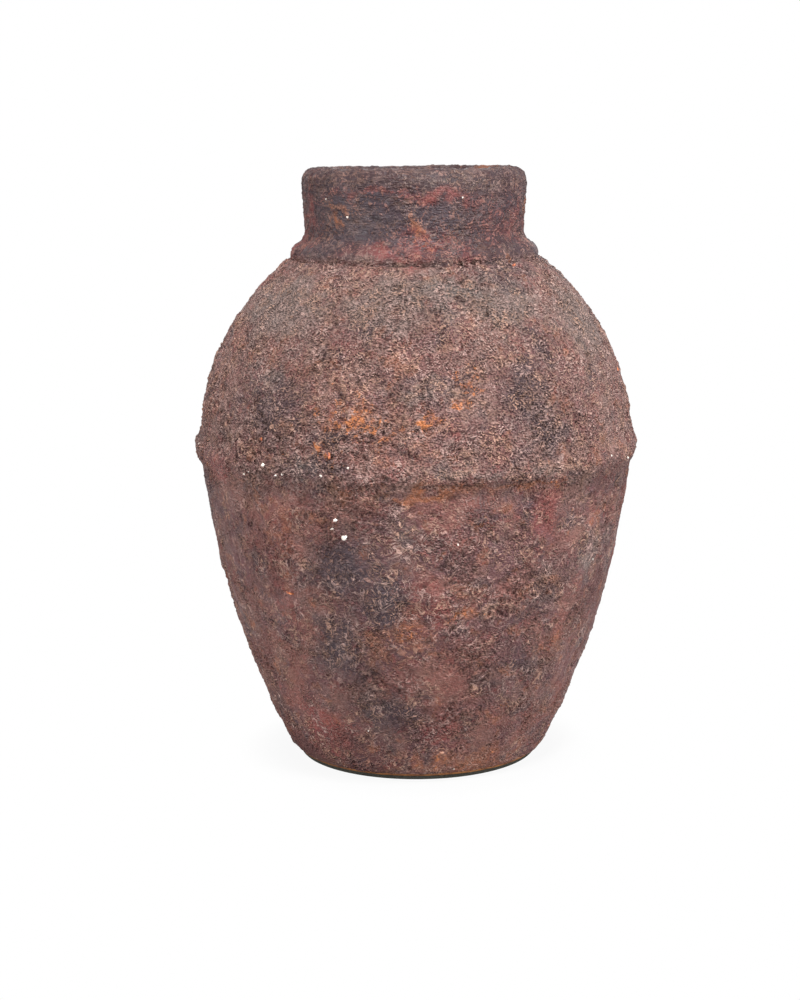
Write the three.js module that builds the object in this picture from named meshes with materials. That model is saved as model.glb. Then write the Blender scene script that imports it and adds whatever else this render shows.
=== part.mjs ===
// A handleless terracotta jar, built up from thrown clay sections that are lapped and luted together,
// dressed with a rough sanded crust and set on a felt pad.
// Millimetres, +Z up. The jar's axis is the Z axis, and the underside of the pad is z = 0.
import * as THREE from "three";

// Heights, from the ground up
const PAD_THICKNESS = 3;
const LOWER_HEIGHT = 243; // underside of the clay floor to the girth seam
const SHOULDER_HEIGHT = 144; // girth seam to the ledge that carries the neck
const NECK_HEIGHT = 66.5; // ledge to the clay crest of the lip

// Radii of the clay's outer face, under the crust
const FOOT_RADIUS = 95.5;
const GIRTH_RADIUS = 165;
const NECK_RADIUS = 80.7; // at the neck's foot
const NECK_FLARE = 2.5; // how much wider the lip is than the neck's foot
const LEDGE_WIDTH = 12.1; // ledge round the neck's foot, at the top of the shoulder
const LOWER_BULGE = 12.3; // swell of the lower wall past a straight line from foot to girth

// Thicknesses
const WALL = 9;
const NECK_WALL = 11; // at the neck's foot
const LIP_WIDTH = 13.5;
const FLOOR = 14;
const FLOOR_FLANGE = 6; // rim of the floor slab that carries the lower wall
const SHELF = 12; // thickened mouth of the shoulder, which carries the neck
const CRUST = 3;
const SLIP = 0.3; // luting gap between neighbouring pieces

// Lap joints
const TONGUE_HEIGHT = 8; // girth seam
const TONGUE_THICKNESS = 4;
const SPIGOT_THICKNESS = 5; // foot of the neck, let into the shoulder's shelf
const SPIGOT_DROP = 6; // how far the spigot reaches below the shelf
const LIP_HEIGHT = 14; // coil that forms the lip
const LIP_TONGUE_HEIGHT = 5;
const LIP_TONGUE_THICKNESS = 5;

// Applied coils on the outside
const BAND_BELOW = 9; // reach of the girth band below the seam
const BAND_ABOVE = 18; // reach of the girth band above the seam
const BAND_DEPTH = 4.2; // crest of the band past the girth
const BAND_EDGE = 1.2; // thickness of the band at its upper and lower edges
const BAND_BLEND = 8; // height in which the crust runs off the band onto the shoulder
const RING_HEIGHT = 12; // ring in the corner between shoulder and neck
const RING_SETBACK = 0.8; // ring's face behind the ledge's edge

// Luting coils pressed into the seams on the inside
const FLOOR_COIL_HEIGHT = 14;
const FLOOR_COIL_WIDTH = 16;
const GIRTH_COIL_REACH = 9; // past each end of the girth tongue
const GIRTH_COIL_DEPTH = 5;
const NECK_COIL_WIDTH = 5.5;
const COIL_EDGE = 1.2; // blunt edge of a smoothed coil

// Lumps of the crust
const LUMP_HEIGHT = 1.1; // crest of a lump past the crust's mean face
const LUMP_SPACING = 43; // from lump to lump, round the girth
const LUMP_LENGTH = 60; // from lump to lump, up the jar
const LUMP_EDGE = 14; // height in which the lumps die out towards an edge
const LUMP_RISE = 15; // how far a row of lumps rises and falls on its way round
const LUMP_SWAY = 0.05; // how far a lump leans sideways, in radians

// Ends of the crust and the pad
const BARE_EDGE = 2; // clay left bare at the foot
const MOUTH_LAP = 24; // how far the crust runs down inside the mouth
const PAD_INSET = 1.5;

// Faceting
const SEGMENTS = 40;
const LOWER_STEPS = 6;
const SHOULDER_STEPS = 8;
const NECK_STEPS = 4;
const LIP_STEPS = 6;
const FACE_STEPS = 6;
const CRUST_SEGMENTS = 2 * SEGMENTS;
const LOWER_CRUST_STEPS = 16;
const SHOULDER_CRUST_STEPS = 10;

// Levels worked out from the heights
const zFoot = PAD_THICKNESS + SLIP;
const zFlange = zFoot + FLOOR_FLANGE;
const zSeat = zFlange + SLIP;
const zFloor = zFoot + FLOOR;
const zGirth = zFoot + LOWER_HEIGHT;
const zTongue = zGirth + TONGUE_HEIGHT;
const zLedge = zGirth + SHOULDER_HEIGHT;
const zShelf = zLedge - SHELF;
const zSpigot = zShelf - SPIGOT_DROP;
const zCrest = zLedge + NECK_HEIGHT;
const zLipSeat = zCrest - LIP_HEIGHT;
const zLipTongue = zLipSeat + LIP_TONGUE_HEIGHT;
const zBandLow = zGirth - BAND_BELOW;
const zBandHigh = zGirth + BAND_ABOVE;
const zRing = zLedge + SLIP;
const zRingTop = zRing + RING_HEIGHT;

// Radii worked out from the walls
const ledgeRadius = NECK_RADIUS + LEDGE_WIDTH;
const lipRadius = NECK_RADIUS + NECK_FLARE;
const neckBore = NECK_RADIUS - NECK_WALL;
const lipBore = lipRadius - LIP_WIDTH;
const spigotRadius = neckBore + SPIGOT_THICKNESS;
const shelfBore = spigotRadius + SLIP;
const tongueRadius = GIRTH_RADIUS - WALL + TONGUE_THICKNESS;
const lipTongueRadius = lipBore + LIP_TONGUE_THICKNESS;
const lipRound = LIP_WIDTH / 2;
const lipMiddle = lipBore + lipRound;

const at = (radius, z) => new THREE.Vector2(radius, z);
const along = (steps, point) => Array.from({ length: steps + 1 }, (_, i) => point(i / steps));
const reversed = (points) => [...points].reverse();

// Lower wall: a circular arc from foot to girth with the given bulge.
const footPoint = at(FOOT_RADIUS, zFoot);
const girthPoint = at(GIRTH_RADIUS, zGirth);
const chord = girthPoint.clone().sub(footPoint);
const lowerArcRadius = (chord.lengthSq() / 4 + LOWER_BULGE ** 2) / (2 * LOWER_BULGE);
const lowerArcCentre = footPoint
  .clone()
  .add(girthPoint)
  .multiplyScalar(0.5)
  .addScaledVector(at(chord.y, -chord.x).normalize(), LOWER_BULGE - lowerArcRadius);
function lowerArc(zStart, zEnd, offset, steps) {
  return along(steps, (t) => {
    const z = THREE.MathUtils.lerp(zStart, zEnd, t);
    const reach = Math.sqrt(lowerArcRadius ** 2 - (z - lowerArcCentre.y) ** 2);
    return at(lowerArcCentre.x + reach + offset, z);
  });
}
const lowerOuter = lowerArc(zFoot, zGirth, 0, LOWER_STEPS);

// Shoulder: a circular arc that leaves the girth upright and ends at the ledge.
const shoulderInset = GIRTH_RADIUS - ledgeRadius;
const shoulderArcRadius = (shoulderInset ** 2 + SHOULDER_HEIGHT ** 2) / (2 * shoulderInset);
const shoulderArcCentre = GIRTH_RADIUS - shoulderArcRadius;
function shoulderArc(zStart, zEnd, offset, steps) {
  const radius = shoulderArcRadius + offset;
  const start = Math.asin((zStart - zGirth) / radius);
  const end = Math.asin((zEnd - zGirth) / radius);
  return along(steps, (t) => {
    const angle = THREE.MathUtils.lerp(start, end, t);
    return at(shoulderArcCentre + radius * Math.cos(angle), zGirth + radius * Math.sin(angle));
  });
}
const shoulderOuter = shoulderArc(zGirth, zLedge, 0, SHOULDER_STEPS);
const shoulderInner = shoulderArc(zGirth, zShelf, -WALL, SHOULDER_STEPS);

// Neck: a slight waist that opens towards the lip.
const neckOuter = along(NECK_STEPS, (t) =>
  at(NECK_RADIUS + NECK_FLARE * t * t, THREE.MathUtils.lerp(zLedge, zLipSeat, t)),
);
const neckInner = [at(neckBore, zRing), at(lipBore, zLipTongue)];

// Radius of a rising outline at a height.
function radiusOn(outline, z) {
  const above = Math.max(1, outline.findIndex((p) => p.y >= z));
  const [low, high] = [outline[above - 1], outline[above]];
  return THREE.MathUtils.mapLinear(z, low.y, high.y, low.x, high.x);
}

// The stretch of a rising outline between two heights, moved outwards by an offset.
function stretch(outline, zStart, zEnd, offset) {
  const between = outline.filter((p) => p.y > zStart + SLIP && p.y < zEnd - SLIP);
  const ends = [zStart, zEnd].map((z) => at(radiusOn(outline, z), z));
  return [ends[0], ...between, ends[1]].map((p) => at(p.x + offset, p.y));
}

// The rounded crest of the lip, from its outer side over to its inner side.
const lipCrest = (lift) =>
  along(LIP_STEPS, (t) =>
    at(
      lipMiddle + (lipRound + lift) * Math.cos(Math.PI * t),
      zCrest - lipRound + (lipRound + lift) * Math.sin(Math.PI * t),
    ),
  );

// The face of the girth band, from its lower edge over its crest to its upper edge.
const bandFoot = radiusOn(lowerOuter, zBandLow);
const bandHead = radiusOn(shoulderOuter, zBandHigh);
const bandFace = (lift) =>
  new THREE.SplineCurve([
    at(bandFoot + BAND_EDGE + lift, zBandLow),
    at(GIRTH_RADIUS + BAND_DEPTH + lift, zGirth),
    at(bandHead + BAND_EDGE + lift, zBandHigh),
  ]).getPoints(FACE_STEPS);

// The face of the neck ring, a quarter round from the ledge up to the neck.
const ringRadius = ledgeRadius - RING_SETBACK;
const ringBack = radiusOn(neckOuter, zRingTop) + SLIP;
const ringFace = (lift) =>
  along(FACE_STEPS, (t) =>
    at(
      ringBack + lift + (ringRadius - ringBack) * Math.cos((Math.PI / 2) * t),
      zRing + (RING_HEIGHT + lift) * Math.sin((Math.PI / 2) * t),
    ),
  );

// Outlines run counterclockwise with radius to the right and height upwards.

function feltPadOutline() {
  const radius = FOOT_RADIUS - PAD_INSET;
  return [at(0, 0), at(radius, 0), at(radius, PAD_THICKNESS), at(0, PAD_THICKNESS)];
}

// A stepped slab: the flange carries the wall, and the plug inside it locates the wall.
function floorSlabOutline() {
  const plug = radiusOn(lowerOuter, zSeat) - WALL - SLIP;
  return [
    at(0, zFoot),
    at(FOOT_RADIUS, zFoot),
    at(radiusOn(lowerOuter, zFlange), zFlange),
    at(plug, zFlange),
    at(plug, zFloor),
    at(0, zFloor),
  ];
}

// The wall has an upright seat round the floor's plug, and a tongue at the girth seam.
function lowerWallOutline() {
  const seat = radiusOn(lowerOuter, zSeat) - WALL;
  return [
    ...stretch(lowerOuter, zSeat, zGirth, 0),
    at(tongueRadius, zGirth),
    at(tongueRadius, zTongue),
    at(GIRTH_RADIUS - WALL, zTongue),
    ...reversed(stretch(lowerOuter, zFloor, zGirth, -WALL)),
    at(seat, zFloor),
    at(seat, zSeat),
  ];
}

// The dome laps over the tongue below, and its thick mouth takes the neck.
function shoulderWallOutline() {
  const rabbet = tongueRadius + SLIP;
  return [
    at(rabbet, zGirth + SLIP),
    ...stretch(shoulderOuter, zGirth + SLIP, zLedge, 0),
    at(shelfBore, zLedge),
    at(shelfBore, zShelf),
    ...reversed(stretch(shoulderInner, zTongue + SLIP, zShelf, 0)),
    at(rabbet, zTongue + SLIP),
  ];
}

// The neck stands on the ledge, with a spigot through the shelf and a tongue for the lip.
function neckWallOutline() {
  return [
    at(neckBore, zSpigot),
    at(spigotRadius, zSpigot),
    at(spigotRadius, zRing),
    ...stretch(neckOuter, zRing, zLipSeat, 0),
    at(lipTongueRadius, zLipSeat),
    at(lipTongueRadius, zLipTongue),
    ...reversed(neckInner),
  ];
}

function rimCoilOutline() {
  const groove = lipTongueRadius + SLIP;
  return [
    at(groove, zLipSeat + SLIP),
    at(lipRadius, zLipSeat + SLIP),
    ...lipCrest(0),
    at(lipBore, zLipTongue + SLIP),
    at(groove, zLipTongue + SLIP),
  ];
}

function girthBandOutline() {
  return [
    at(bandFoot + SLIP, zBandLow),
    ...bandFace(0),
    ...reversed(stretch(shoulderOuter, zGirth, zBandHigh, SLIP)),
  ];
}

function neckRingOutline() {
  return [at(radiusOn(neckOuter, zRing) + SLIP, zRing), ...ringFace(0)];
}

// A hollow fillet between the floor and the wall.
function floorSeamCoilOutline() {
  const bottom = zFloor + SLIP;
  const back = stretch(lowerOuter, bottom, bottom + FLOOR_COIL_HEIGHT, -WALL - SLIP);
  const [corner, top] = [back[0], back[back.length - 1]];
  const face = new THREE.QuadraticBezierCurve(
    at(top.x - COIL_EDGE, top.y),
    at(corner.x - COIL_EDGE, bottom + COIL_EDGE),
    at(corner.x - FLOOR_COIL_WIDTH, bottom + COIL_EDGE),
  );
  return [at(corner.x - FLOOR_COIL_WIDTH, bottom), ...back, ...face.getPoints(FACE_STEPS)];
}

// A rounded strip over the girth seam.
function girthSeamCoilOutline() {
  const low = stretch(lowerOuter, zGirth - GIRTH_COIL_REACH, zGirth, -WALL - SLIP);
  const high = stretch(shoulderInner, zTongue, zTongue + GIRTH_COIL_REACH, -SLIP);
  const [bottom, top] = [low[0], high[high.length - 1]];
  const face = new THREE.SplineCurve([
    at(top.x - COIL_EDGE, top.y),
    at(GIRTH_RADIUS - WALL - GIRTH_COIL_DEPTH, (bottom.y + top.y) / 2),
    at(bottom.x - COIL_EDGE, bottom.y),
  ]);
  return [...low, ...high, ...face.getPoints(FACE_STEPS)];
}

// A hollow fillet between the neck's spigot and the underside of the shelf.
function neckSeamCoilOutline() {
  const back = spigotRadius + SLIP;
  const top = zShelf - SLIP;
  const face = new THREE.QuadraticBezierCurve(
    at(back + COIL_EDGE, zSpigot),
    at(back + COIL_EDGE, top - COIL_EDGE),
    at(back + NECK_COIL_WIDTH, top - COIL_EDGE),
  );
  return [at(back, zSpigot), ...face.getPoints(FACE_STEPS), at(back + NECK_COIL_WIDTH, top), at(back, top)];
}

// A coat of crust between two rising faces, with lumps on its outer face between two heights.
const coat = (outer, inner, lumpsLow, lumpsHigh) => ({ outer, inner, lumpsLow, lumpsHigh });

function crustLower() {
  const [low, high] = [zFoot + BARE_EDGE, zBandLow - SLIP];
  const outer = lowerArc(low, high, CRUST, LOWER_CRUST_STEPS);
  return coat(outer, stretch(lowerOuter, low, high, SLIP), low, high);
}

function crustShoulder() {
  const blended = zBandHigh + BAND_BLEND;
  const outer = [...bandFace(CRUST), ...shoulderArc(blended, zLedge, CRUST, SHOULDER_CRUST_STEPS)];
  const inner = [...bandFace(SLIP), ...stretch(shoulderOuter, zBandHigh + SLIP, zLedge, SLIP)];
  return coat(outer, inner, blended, zLedge);
}

function crustNeckOutline() {
  const face = (lift) => [
    ...ringFace(lift),
    ...stretch(neckOuter, zRingTop + lift + SLIP, zLipSeat, lift),
    ...lipCrest(lift),
    at(lipBore - lift, zLipTongue),
    at(radiusOn(neckInner, zCrest - MOUTH_LAP) - lift, zCrest - MOUTH_LAP),
  ];
  return [...face(CRUST), ...reversed(face(SLIP))];
}

// Height of a lump at an angle round the jar. The rows rise, fall and sway, so that lumps don't line up.
const lumpsRound = 2 * Math.round((Math.PI * GIRTH_RADIUS) / LUMP_SPACING);
function lump(angle, z, low, high) {
  const { smoothstep } = THREE.MathUtils;
  const edges = smoothstep(z, low, low + LUMP_EDGE) * smoothstep(high - z, 0, LUMP_EDGE);
  const sway = LUMP_SWAY * Math.sin(4 * angle) * Math.cos((Math.PI * z) / LUMP_LENGTH);
  const rise = LUMP_RISE * Math.cos(6 * angle);
  const across = Math.cos(lumpsRound * (angle + sway));
  return LUMP_HEIGHT * edges * across * Math.cos((2 * Math.PI * (z + rise)) / LUMP_LENGTH);
}

const clay = new THREE.MeshStandardMaterial({ color: 0x9a5a3c, roughness: 0.9, metalness: 0 });
const crust = new THREE.MeshStandardMaterial({ color: 0x6b4a43, roughness: 0.95, metalness: 0 });
const felt = new THREE.MeshStandardMaterial({ color: 0x1d1c1b, roughness: 1, metalness: 0 });

const jar = new THREE.Group();

// Turns an outline round the Z axis. One that starts on the axis is already closed there.
function turned(outline, segments) {
  const closed = outline[0].x === 0 ? outline : [...outline, outline[0]];
  return new THREE.LatheGeometry(closed, segments).rotateX(Math.PI / 2);
}

function add(name, geometry, material) {
  const mesh = new THREE.Mesh(geometry, material);
  mesh.name = name;
  jar.add(mesh);
}

const turn = (name, outline, material) => add(name, turned(outline, SEGMENTS), material);

// Turns a coat of crust and raises its lumps.
function dress(name, { outer, inner, lumpsLow, lumpsHigh }) {
  const outline = [...outer, ...reversed(inner)];
  const geometry = turned(outline, CRUST_SEGMENTS);
  const position = geometry.getAttribute("position");
  const column = outline.length + 1;
  for (let i = 0; i < position.count; i++) {
    const point = outer[i % column];
    if (!point || point.y <= lumpsLow || point.y >= lumpsHigh) continue;
    const turnedBy = Math.floor(i / column) % CRUST_SEGMENTS;
    const height = lump((2 * Math.PI * turnedBy) / CRUST_SEGMENTS, point.y, lumpsLow, lumpsHigh);
    const scale = 1 + height / point.x;
    position.setXY(i, position.getX(i) * scale, position.getY(i) * scale);
  }
  add(name, geometry, crust);
}

turn("felt_pad", feltPadOutline(), felt);
turn("floor_slab", floorSlabOutline(), clay);
turn("lower_wall", lowerWallOutline(), clay);
turn("shoulder_wall", shoulderWallOutline(), clay);
turn("neck_wall", neckWallOutline(), clay);
turn("rim_coil", rimCoilOutline(), clay);
turn("girth_band", girthBandOutline(), clay);
turn("neck_ring", neckRingOutline(), clay);
turn("floor_seam_coil", floorSeamCoilOutline(), clay);
turn("girth_seam_coil", girthSeamCoilOutline(), clay);
turn("neck_seam_coil", neckSeamCoilOutline(), clay);
dress("crust_lower", crustLower());
dress("crust_shoulder", crustShoulder());
turn("crust_neck", crustNeckOutline(), crust);

export default jar;
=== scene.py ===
"""A handleless terracotta jar under a rough rust-brown crust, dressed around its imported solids."""

import itertools
import math
import random

import bmesh
import bpy
import numpy as np
from mathutils import Matrix, Vector


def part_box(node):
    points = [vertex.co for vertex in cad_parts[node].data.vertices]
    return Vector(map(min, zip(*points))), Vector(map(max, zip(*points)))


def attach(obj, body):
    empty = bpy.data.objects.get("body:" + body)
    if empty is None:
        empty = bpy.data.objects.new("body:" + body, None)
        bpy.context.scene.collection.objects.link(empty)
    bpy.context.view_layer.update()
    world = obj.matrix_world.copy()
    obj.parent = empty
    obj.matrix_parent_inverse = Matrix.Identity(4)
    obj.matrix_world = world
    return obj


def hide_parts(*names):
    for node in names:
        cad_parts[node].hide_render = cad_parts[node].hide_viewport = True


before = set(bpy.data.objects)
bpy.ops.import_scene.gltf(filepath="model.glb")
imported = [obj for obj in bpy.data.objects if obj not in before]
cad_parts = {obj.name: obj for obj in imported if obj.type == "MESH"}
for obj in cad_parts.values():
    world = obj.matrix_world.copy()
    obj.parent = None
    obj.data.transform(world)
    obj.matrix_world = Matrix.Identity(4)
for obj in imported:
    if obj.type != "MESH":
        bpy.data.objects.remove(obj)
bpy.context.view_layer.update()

MM = 0.001

# Sizes that the jar's solids share
SLIP = 0.3 * MM
CRUST = 3 * MM
WALL = 9 * MM
LIP_WIDTH = 13.5 * MM
LOWER_BULGE = 12.3 * MM
BARE_EDGE = 2 * MM
PAD_INSET = 1.5 * MM
PAD_ROUND = 0.6 * MM
RING_HEIGHT = 12 * MM
NECK_FLARE = 2.5 * MM
MOUTH_LAP = 24 * MM
FLOOR_FLANGE = 6 * MM
TONGUE_HEIGHT = 8 * MM
TONGUE_THICKNESS = 4 * MM
SHELF = 12 * MM
SPIGOT_THICKNESS = 5 * MM
LIP_TONGUE_HEIGHT = 5 * MM
LIP_TONGUE_THICKNESS = 5 * MM
COIL_EDGE = 1.2 * MM
FLOOR_COIL_REACH = 16 * MM
GIRTH_COIL_DEPTH = 5 * MM
BAND_ABOVE = 18 * MM
BAND_BLEND = 8 * MM
BAND_REACH = 16 * MM
RING_SETBACK = 0.8 * MM

# Lumps of the crust, in millimetres, as its solids have them
LUMP_HEIGHT = 1.1
LUMP_LENGTH = 60
LUMP_EDGE = 14
LUMP_RISE = 15
LUMP_SWAY = 0.05
LUMPS_ROUND = 24

# Levels and radii read from the solids
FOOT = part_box("floor_slab")[0].z
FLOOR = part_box("floor_slab")[1].z
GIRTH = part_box("shoulder_wall")[0].z - SLIP
BAND_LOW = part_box("girth_band")[0].z
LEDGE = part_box("shoulder_wall")[1].z
LIP_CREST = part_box("rim_coil")[1].z
LIP_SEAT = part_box("rim_coil")[0].z - SLIP
FOOT_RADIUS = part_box("felt_pad")[1].x + PAD_INSET
GIRTH_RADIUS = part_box("shoulder_wall")[1].x
RING_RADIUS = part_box("neck_ring")[1].x
LIP_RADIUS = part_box("rim_coil")[1].x
NECK_RADIUS = LIP_RADIUS - NECK_FLARE
LEDGE_RADIUS = RING_RADIUS + RING_SETBACK
BAND_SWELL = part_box("girth_band")[1].x - GIRTH_RADIUS
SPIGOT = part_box("neck_wall")[0].z
SHELF_LOW = LEDGE - SHELF
BORE = LIP_RADIUS - LIP_WIDTH
SHELF_BORE = BORE + SPIGOT_THICKNESS + SLIP
TONGUE_RADIUS = GIRTH_RADIUS - WALL + TONGUE_THICKNESS

# The camera, as fitted to the photograph's frame of 800 by 1000 pixels
CAMERA_PLACE = (-12.9 * MM, -1600 * MM, 487.9 * MM)
CAMERA_PITCH = math.radians(10.2)
CAMERA_ROLL = math.radians(0.5)
CAMERA_LENS = 73.97

# Lamps: name, place and width in metres, and power in watts. All of them face one point.
LAMPS = [
    ("overhead", (0.45, -1.1, 2.6), 0.4, 112),
    ("right", (1.8, -1.1, 0.45), 0.6, 46),
    ("left", (-1.8, -1.2, 0.45), 0.6, 40),
    ("behind", (0.0, 2.4, 0.5), 1.2, 16),
]
LAMP_AIM = Vector((0, 0, 0.22))
ROOM_LIGHT = 0.2

# The white floor: half its width, its grey under the jar's shadow, how much white the camera sees
# under the jar, and where that shadow starts and ends
FLOOR_REACH = 6
FLOOR_GREY = (0.4, 0.4, 0.41, 1)
SHADOW_WHITE = 0.93
SHADOW_REACH = (0.1, 0.15)

# Fineness of the meshes, and the heights where the crust is cut to keep each ring light
CRUST_STEP = 1.15 * MM
BODY_TURNS = 960
NECK_TURNS = 560
CLAY_STEP = 1.5 * MM
CLAY_TURNS = 160
FOOT_CUT = 88 * MM
BELLY_CUT = 168 * MM
SHOULDER_CUT = 316 * MM

# The crust's low edge: its shares of the full thickness and relief, and how far up both are full.
# Each ring of crust also has a narrow row of faces at its ends, which keeps the joins crisp.
EDGE_THICKNESS = 0.35
EDGE_RUN = 6 * MM
EDGE_RELIEF = 0.3
RELIEF_RUN = 5 * MM
JOIN_ROW = 0.05 * MM


def paint(red, green, blue):
    """A colour from its 8-bit display values, in the linear light that shaders use."""
    values = [c / 255 for c in (red, green, blue)]
    return [c / 12.92 if c < 0.04045 else ((c + 0.055) / 1.055) ** 2.4 for c in values] + [1]


# The crust's palette
EARTH_BROWN = paint(86, 54, 53)
WARM_BROWN = paint(114, 71, 64)
OLIVE_BROWN = paint(114, 92, 83)
PLUM = paint(86, 58, 61)
MAUVE_BROWN = paint(140, 101, 94)
CHARCOAL = paint(56, 46, 52)
OXIDE_RED = paint(124, 60, 56)
RUST = paint(150, 92, 60)
BRIGHT_RUST = paint(200, 124, 76)
# Grey dust, and also painted sheen where it lies on the upward shoulder and on the girth ridge's top
DUST_AND_SHEEN = paint(110, 101, 96)
# Painted shade, laid in the hollows, the creases, the pits and the grain's low points
PAINTED_HOLLOW_SHADE = paint(36, 16, 15)
# Pale crest paint, also laid on the crests as painted highlight
PALE_CREST_AND_HIGHLIGHT = paint(184, 152, 143)
TAN_CREST_AND_HIGHLIGHT = paint(186, 146, 126)
NECK_SHADE = paint(40, 28, 34)

# Colours of the chips, the clay and the pad
RUST_CHIP = paint(206, 128, 80)
LIME = paint(226, 218, 212)
LIME_SHADE = paint(214, 200, 186)
BARE_CLAY = paint(168, 112, 66)
BARE_CLAY_SHADE = paint(120, 76, 50)
TERRACOTTA = paint(160, 98, 70)
TERRACOTTA_SHADE = paint(142, 84, 60)
CLAY_SAND = paint(196, 150, 118)
FELT_BLACK = paint(44, 44, 40)
FELT_FIBRE = paint(66, 66, 60)


# Outlines of the jar, as (radius, height) points from low to high


def arc_through(start, end, bulge):
    """Radius of the circle and its centre, for an arc that bulges outwards between two points."""
    chord = end - start
    radius = (chord.length_squared / 4 + bulge**2) / (2 * bulge)
    outward = Vector((chord.y, -chord.x)).normalized()
    return radius, (start + end) / 2 + outward * (bulge - radius)


def lower_radius(z):
    """The lower wall's outer face."""
    foot, girth = Vector((FOOT_RADIUS, FOOT)), Vector((GIRTH_RADIUS, GIRTH))
    radius, centre = arc_through(foot, girth, LOWER_BULGE)
    return centre.x + math.sqrt(radius**2 - (z - centre.y) ** 2)


def shoulder_radius(z, lift=0.0):
    """The shoulder's outer face, or a face lifted off it."""
    inset, height = GIRTH_RADIUS - LEDGE_RADIUS, LEDGE - GIRTH
    radius = (inset**2 + height**2) / (2 * inset)
    return GIRTH_RADIUS - radius + math.sqrt((radius + lift) ** 2 - (z - GIRTH) ** 2)


def lower_inside(z):
    """The lower wall's inner face."""
    return lower_radius(z) - WALL


def shoulder_inside(z):
    """The shoulder's inner face."""
    return shoulder_radius(z, -WALL)


def band_swell(z):
    """How far the girth band lifts the crust."""
    away = np.minimum(np.abs(z - GIRTH) / BAND_REACH, 1)
    return BAND_SWELL * np.cos(away * math.pi / 2) ** 2


def body_radius(z, lift):
    """A face lifted off the body's clay, with the girth band's swell."""
    clay = lower_radius(z) + lift if z < GIRTH else shoulder_radius(z, lift)
    return clay + band_swell(z)


def neck_radius(z):
    """The neck's outer face, which flares towards the lip."""
    rise = (z - LEDGE) / (LIP_SEAT - LEDGE)
    return NECK_RADIUS + NECK_FLARE * min(rise, 1) ** 2


def steps(low, high, count):
    """Even steps from low to high, with both ends."""
    return [low + (high - low) * i / count for i in range(count + 1)]


def evenly(points, spacing):
    """The same line with its points an even distance apart."""
    line = np.array(points)
    run = np.concatenate([[0], np.cumsum(np.hypot(*np.diff(line, axis=0).T))])
    where = np.linspace(0, run[-1], max(2, round(run[-1] / spacing)) + 1)
    return list(zip(np.interp(where, run, line[:, 0]), np.interp(where, run, line[:, 1])))


def curve(start, corner, end):
    """A hollow bend between two points that leans towards a corner."""
    start, corner, end = Vector(start), Vector(corner), Vector(end)
    return [
        tuple(start * (1 - t) ** 2 + corner * 2 * t * (1 - t) + end * t**2)
        for t in steps(0, 1, 12)
    ]


def body_face(low, high, lift):
    """A line up the body, lifted off its clay."""
    return [(body_radius(z, lift), z) for z in steps(low, high, 200)]


# The crust over the neck ring: share of the ring's width, and height in millimetres above its seat
RING_BEAD = [
    (1.06, -1.2), (1.0, 0.2), (1.0, 2), (1.02, 4), (0.99, 6), (0.92, 8), (0.8, 9.8),
    (0.62, 11.4), (0.43, 12.9), (0.27, 14.3), (0.14, 16), (0.06, 18), (0.0, 21),
]


def neck_face(lift):
    """Over the neck ring, up the neck, over the lip and down into the mouth."""
    base = LEDGE + SLIP
    back = neck_radius(base + RING_HEIGHT) + SLIP
    wide = RING_RADIUS - back
    if lift == CRUST:
        ring = [(back + lift + wide * share, base + height * MM) for share, height in RING_BEAD]
    else:
        ring = [
            (back + lift + wide * math.cos(a), base + (RING_HEIGHT + lift) * math.sin(a))
            for a in steps(0, math.pi / 2, 16)
        ]
    top = ring[-1][1] + SLIP
    neck = [(neck_radius(z) + lift, z) for z in steps(top, LIP_SEAT, 20)]
    round_radius = LIP_WIDTH / 2
    middle = LIP_RADIUS - round_radius
    lip = [
        (
            middle + (round_radius + lift) * math.cos(a),
            LIP_CREST - round_radius + (round_radius + lift) * math.sin(a),
        )
        for a in steps(0, math.pi, 24)
    ]
    return ring + neck + lip + [(LIP_RADIUS - LIP_WIDTH - lift, LIP_CREST - MOUTH_LAP)]


# Making pieces


def turned(outline, turns, **kept):
    """An outline turned round the jar's axis, with the values that each of its points keeps."""
    bm = bmesh.new()
    layers = {bm.verts.layers.float.new(name): values for name, values in kept.items()}
    closed = outline[0][0] > 0
    spans = len(outline) if closed else len(outline) - 1
    bmesh.ops.create_grid(bm, x_segments=spans, y_segments=turns, size=0.5)
    for vert in bm.verts:
        point = round((vert.co.x + 0.5) * spans) % len(outline)
        turn = (vert.co.y + 0.5) * 2 * math.pi
        radius, height = outline[point]
        vert.co = (radius * math.cos(turn), radius * math.sin(turn), height)
        for layer, values in layers.items():
            vert[layer] = values[point]
    bmesh.ops.remove_doubles(bm, verts=bm.verts, dist=1e-6)
    bmesh.ops.recalc_face_normals(bm, faces=bm.faces)
    return bm


def piece(name, bm, material, slot, *nodes):
    """Puts a finished bmesh into the scene as a piece that stands for the given solids."""
    mesh = bpy.data.meshes.new(name)
    for face in bm.faces:
        face.smooth = True
    bm.to_mesh(mesh)
    bm.free()
    mesh.materials.append(material)
    made = bpy.data.objects.new(name, mesh)
    bpy.context.scene.collection.objects.link(made)
    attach(made, "root")
    if nodes:
        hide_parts(*nodes)
    return made


# The crust's relief

LATTICE = 256
DRAW = np.random.default_rng(11)
DIRECTIONS = DRAW.normal(size=(LATTICE, 3))
DIRECTIONS /= np.linalg.norm(DIRECTIONS, axis=1)[:, None]
SHUFFLE = DRAW.permutation(LATTICE)
RIPPLE_GAIN = 1.7
DRIFT_SHIFTS = (1.7, 4.3, 8.9)

# Levels in millimetres: combed crust on the lower body, flaked crust on the shoulder, brushed
# crust on the neck, and the creases under the girth ridge and under the neck ring
COMBED_BELOW = 215
FLAKED_ABOVE = 250
NECK_START = 388
NECK_FULL = 398
BAND_CREASE = 238.6
RING_CREASE = 391

# Heights of the relief in millimetres
SWELL_HEIGHT = 0.5
CREST_HEIGHT = 0.45
PIT_DEPTH = 1.0
RIDGE_HEIGHT = 0.5
CRAG_HEIGHT = 1.7
CREASE_DEPTH = 1.4
STRAND_HALF_WIDTH = 1.9


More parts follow.
